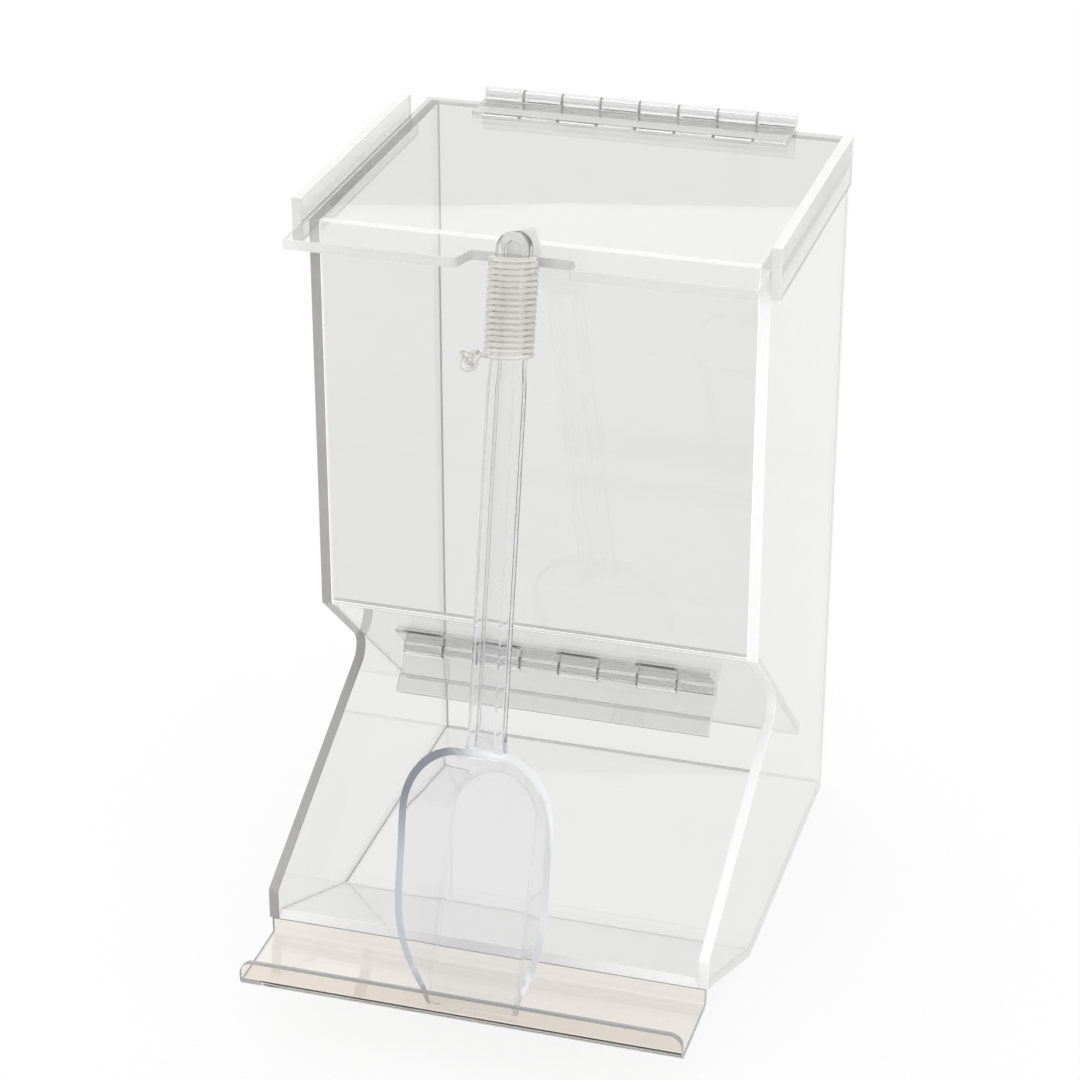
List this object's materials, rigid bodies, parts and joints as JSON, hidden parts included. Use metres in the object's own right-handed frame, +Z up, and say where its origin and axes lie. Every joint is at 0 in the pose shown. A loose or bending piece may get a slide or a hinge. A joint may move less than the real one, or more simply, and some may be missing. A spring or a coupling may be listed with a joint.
{
  "type": "candy bin with scoop lid",
  "caption": "Clear bulk candy bin: hopper with sloping baffle, hinged lid with side strips, hinged flap over an open trough, front tray and a long-handled scoop with a coiled tether.",
  "frame": {"origin": "middle of the bounding box at the base, on the surface the bin stands on", "axes": "+X across the bin, +Y from the tray towards the back panel, +Z up"},
  "size_m": [0.2144, 0.2942, 0.3592],
  "materials": {
    "clear_sheet": "polished clear cast sheet",
    "lid_sheet": "polished clear cast sheet",
    "tray_sheet": "polished clear bent sheet",
    "clear_hinge": "clear extruded plastic",
    "hinge_pin": "clear plastic rod",
    "clear_moulding": "clear moulded plastic",
    "clear_cord": "clear glossy plastic cord"
  },
  "bodies": {
    "bin": {"left_side_panel": "clear_sheet", "right_side_panel": "clear_sheet", "front_panel": "clear_sheet", "baffle_panel": "clear_sheet", "back_panel": "clear_sheet", "floor_panel": "clear_sheet", "scoop_tray": "tray_sheet", "lid_hinge_body_leaf": "clear_hinge", "lid_hinge_pin": "hinge_pin", "flap_hinge_fixed_leaf": "clear_hinge", "flap_hinge_pin": "hinge_pin"},
    "lid": {"lid_sheet": "lid_sheet", "lid_left_strip": "lid_sheet", "lid_right_strip": "lid_sheet", "lid_hinge_lid_leaf": "clear_hinge"},
    "flap": {"flap_hinge_swing_leaf": "clear_hinge", "flap_strip": "clear_sheet"},
    "scoop": {"scoop": "clear_moulding", "tether": "clear_cord", "tether_tab": "clear_cord"}
  },
  "joints": [
    {"name": "lid_hinge", "type": "hinge", "parent": "bin", "child": "lid", "pos_m": [0, 0.14415, 0.3477], "axis": [-1, 0, 0], "range_deg": [0, 265]},
    {"name": "flap_hinge", "type": "hinge", "parent": "bin", "child": "flap", "pos_m": [0, 0.01002, 0.11968], "axis": [-1, 0, 0], "range_deg": [-85, 88]},
    {"name": "scoop_lift", "type": "slide", "parent": "bin", "child": "scoop", "axis": [0, -0.3, 0.9539], "range_m": [0, 0.16]}
  ]
}
